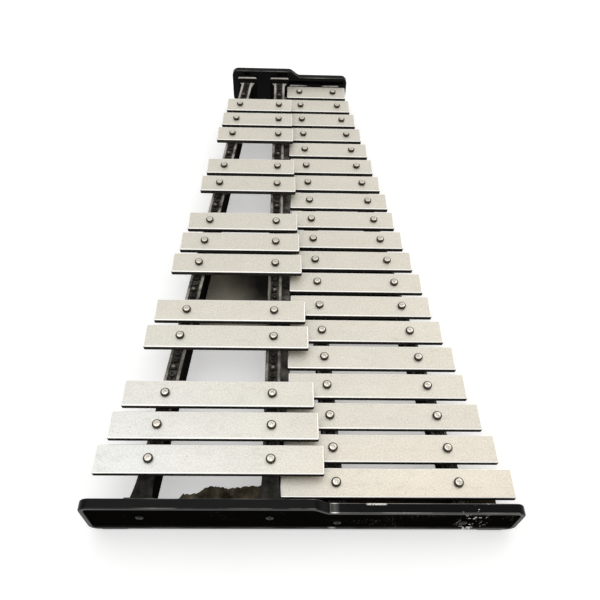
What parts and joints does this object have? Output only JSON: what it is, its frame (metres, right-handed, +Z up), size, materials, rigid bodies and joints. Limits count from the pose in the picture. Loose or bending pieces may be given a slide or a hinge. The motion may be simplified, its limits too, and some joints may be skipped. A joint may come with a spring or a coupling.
{
  "type": "student bell kit",
  "caption": "Two rows of flat metal tone bars, the sharps raised behind, on four tapering black rails between two glossy moulded end panels.",
  "frame": {"origin": "middle of the footprint, on the surface that the feet stand on", "axes": "+Y from the lowest bars to the highest, +X from the raised accidental row to the natural row, +Z up"},
  "size_m": [0.3858, 0.6622, 0.0565],
  "materials": {
    "tone_bar": "satin, fine sandy grain",
    "rail": "moulded black, dusty and scuffed",
    "strip": "matt black with small raised nubs",
    "panel": "glossy black with scuffs and white specks",
    "cross_plate": "glossy black, dusty",
    "web": "black under brown dust",
    "foot": "matt",
    "panel_screw": "black, semi-gloss"
  },
  "bodies": {
    "frame": {"accidental_outer_rail": "rail", "accidental_inner_rail": "rail", "natural_inner_rail": "rail", "natural_outer_rail": "rail", "accidental_outer_strip": "strip", "accidental_inner_strip": "strip", "natural_inner_strip": "strip", "natural_outer_strip": "strip", "low_end_panel": "panel", "high_end_panel": "panel", "cross_plate": "cross_plate", "low_end_web": "web", "low_left_foot": "foot", "low_right_foot": "foot", "high_left_foot": "foot", "high_right_foot": "foot", "low_panel_screw_accidental_outer": "panel_screw", "low_panel_screw_accidental_inner": "panel_screw", "low_panel_screw_natural_inner": "panel_screw", "low_panel_screw_natural_outer": "panel_screw", "high_panel_screw_accidental_outer": "panel_screw", "high_panel_screw_accidental_inner": "panel_screw", "high_panel_screw_natural_inner": "panel_screw", "high_panel_screw_natural_outer": "panel_screw"},
    "bar_F5": {"bar_F5": "tone_bar"},
    "bar_Fsharp5": {"bar_Fsharp5": "tone_bar"},
    "bar_G5": {"bar_G5": "tone_bar"},
    "bar_Gsharp5": {"bar_Gsharp5": "tone_bar"},
    "bar_A5": {"bar_A5": "tone_bar"},
    "bar_Asharp5": {"bar_Asharp5": "tone_bar"},
    "bar_B5": {"bar_B5": "tone_bar"},
    "bar_C6": {"bar_C6": "tone_bar"},
    "bar_Csharp6": {"bar_Csharp6": "tone_bar"},
    "bar_D6": {"bar_D6": "tone_bar"},
    "bar_Dsharp6": {"bar_Dsharp6": "tone_bar"},
    "bar_E6": {"bar_E6": "tone_bar"},
    "bar_F6": {"bar_F6": "tone_bar"},
    "bar_Fsharp6": {"bar_Fsharp6": "tone_bar"},
    "bar_G6": {"bar_G6": "tone_bar"},
    "bar_Gsharp6": {"bar_Gsharp6": "tone_bar"},
    "bar_A6": {"bar_A6": "tone_bar"},
    "bar_Asharp6": {"bar_Asharp6": "tone_bar"},
    "bar_B6": {"bar_B6": "tone_bar"},
    "bar_C7": {"bar_C7": "tone_bar"},
    "bar_Csharp7": {"bar_Csharp7": "tone_bar"},
    "bar_D7": {"bar_D7": "tone_bar"},
    "bar_Dsharp7": {"bar_Dsharp7": "tone_bar"},
    "bar_E7": {"bar_E7": "tone_bar"},
    "bar_F7": {"bar_F7": "tone_bar"},
    "bar_Fsharp7": {"bar_Fsharp7": "tone_bar"},
    "bar_G7": {"bar_G7": "tone_bar"},
    "bar_Gsharp7": {"bar_Gsharp7": "tone_bar"},
    "bar_A7": {"bar_A7": "tone_bar"},
    "bar_Asharp7": {"bar_Asharp7": "tone_bar"},
    "bar_B7": {"bar_B7": "tone_bar"},
    "bar_C8": {"bar_C8": "tone_bar"}
  },
  "joints": [
    {"name": "bar_F5_float", "type": "slide", "parent": "frame", "child": "bar_F5", "axis": [0, 0, 1], "range_m": [0, 0.0008]},
    {"name": "bar_Fsharp5_float", "type": "slide", "parent": "frame", "child": "bar_Fsharp5", "axis": [0, 0, 1], "range_m": [0, 0.0008]},
    {"name": "bar_G5_float", "type": "slide", "parent": "frame", "child": "bar_G5", "axis": [0, 0, 1], "range_m": [0, 0.0008]},
    {"name": "bar_Gsharp5_float", "type": "slide", "parent": "frame", "child": "bar_Gsharp5", "axis": [0, 0, 1], "range_m": [0, 0.0008]},
    {"name": "bar_A5_float", "type": "slide", "parent": "frame", "child": "bar_A5", "axis": [0, 0, 1], "range_m": [0, 0.0008]},
    {"name": "bar_Asharp5_float", "type": "slide", "parent": "frame", "child": "bar_Asharp5", "axis": [0, 0, 1], "range_m": [0, 0.0008]},
    {"name": "bar_B5_float", "type": "slide", "parent": "frame", "child": "bar_B5", "axis": [0, 0, 1], "range_m": [0, 0.0008]},
    {"name": "bar_C6_float", "type": "slide", "parent": "frame", "child": "bar_C6", "axis": [0, 0, 1], "range_m": [0, 0.0008]},
    {"name": "bar_Csharp6_float", "type": "slide", "parent": "frame", "child": "bar_Csharp6", "axis": [0, 0, 1], "range_m": [0, 0.0008]},
    {"name": "bar_D6_float", "type": "slide", "parent": "frame", "child": "bar_D6", "axis": [0, 0, 1], "range_m": [0, 0.0008]},
    {"name": "bar_Dsharp6_float", "type": "slide", "parent": "frame", "child": "bar_Dsharp6", "axis": [0, 0, 1], "range_m": [0, 0.0008]},
    {"name": "bar_E6_float", "type": "slide", "parent": "frame", "child": "bar_E6", "axis": [0, 0, 1], "range_m": [0, 0.0008]},
    {"name": "bar_F6_float", "type": "slide", "parent": "frame", "child": "bar_F6", "axis": [0, 0, 1], "range_m": [0, 0.0008]},
    {"name": "bar_Fsharp6_float", "type": "slide", "parent": "frame", "child": "bar_Fsharp6", "axis": [0, 0, 1], "range_m": [0, 0.0008]},
    {"name": "bar_G6_float", "type": "slide", "parent": "frame", "child": "bar_G6", "axis": [0, 0, 1], "range_m": [0, 0.0008]},
    {"name": "bar_Gsharp6_float", "type": "slide", "parent": "frame", "child": "bar_Gsharp6", "axis": [0, 0, 1], "range_m": [0, 0.0008]},
    {"name": "bar_A6_float", "type": "slide", "parent": "frame", "child": "bar_A6", "axis": [0, 0, 1], "range_m": [0, 0.0008]},
    {"name": "bar_Asharp6_float", "type": "slide", "parent": "frame", "child": "bar_Asharp6", "axis": [0, 0, 1], "range_m": [0, 0.0008]},
    {"name": "bar_B6_float", "type": "slide", "parent": "frame", "child": "bar_B6", "axis": [0, 0, 1], "range_m": [0, 0.0008]},
    {"name": "bar_C7_float", "type": "slide", "parent": "frame", "child": "bar_C7", "axis": [0, 0, 1], "range_m": [0, 0.0008]},
    {"name": "bar_Csharp7_float", "type": "slide", "parent": "frame", "child": "bar_Csharp7", "axis": [0, 0, 1], "range_m": [0, 0.0008]},
    {"name": "bar_D7_float", "type": "slide", "parent": "frame", "child": "bar_D7", "axis": [0, 0, 1], "range_m": [0, 0.0008]},
    {"name": "bar_Dsharp7_float", "type": "slide", "parent": "frame", "child": "bar_Dsharp7", "axis": [0, 0, 1], "range_m": [0, 0.0008]},
    {"name": "bar_E7_float", "type": "slide", "parent": "frame", "child": "bar_E7", "axis": [0, 0, 1], "range_m": [0, 0.0008]},
    {"name": "bar_F7_float", "type": "slide", "parent": "frame", "child": "bar_F7", "axis": [0, 0, 1], "range_m": [0, 0.0008]},
    {"name": "bar_Fsharp7_float", "type": "slide", "parent": "frame", "child": "bar_Fsharp7", "axis": [0, 0, 1], "range_m": [0, 0.0008]},
    {"name": "bar_G7_float", "type": "slide", "parent": "frame", "child": "bar_G7", "axis": [0, 0, 1], "range_m": [0, 0.0008]},
    {"name": "bar_Gsharp7_float", "type": "slide", "parent": "frame", "child": "bar_Gsharp7", "axis": [0, 0, 1], "range_m": [0, 0.0008]},
    {"name": "bar_A7_float", "type": "slide", "parent": "frame", "child": "bar_A7", "axis": [0, 0, 1], "range_m": [0, 0.0008]},
    {"name": "bar_Asharp7_float", "type": "slide", "parent": "frame", "child": "bar_Asharp7", "axis": [0, 0, 1], "range_m": [0, 0.0008]},
    {"name": "bar_B7_float", "type": "slide", "parent": "frame", "child": "bar_B7", "axis": [0, 0, 1], "range_m": [0, 0.0008]},
    {"name": "bar_C8_float", "type": "slide", "parent": "frame", "child": "bar_C8", "axis": [0, 0, 1], "range_m": [0, 0.0008]}
  ]
}
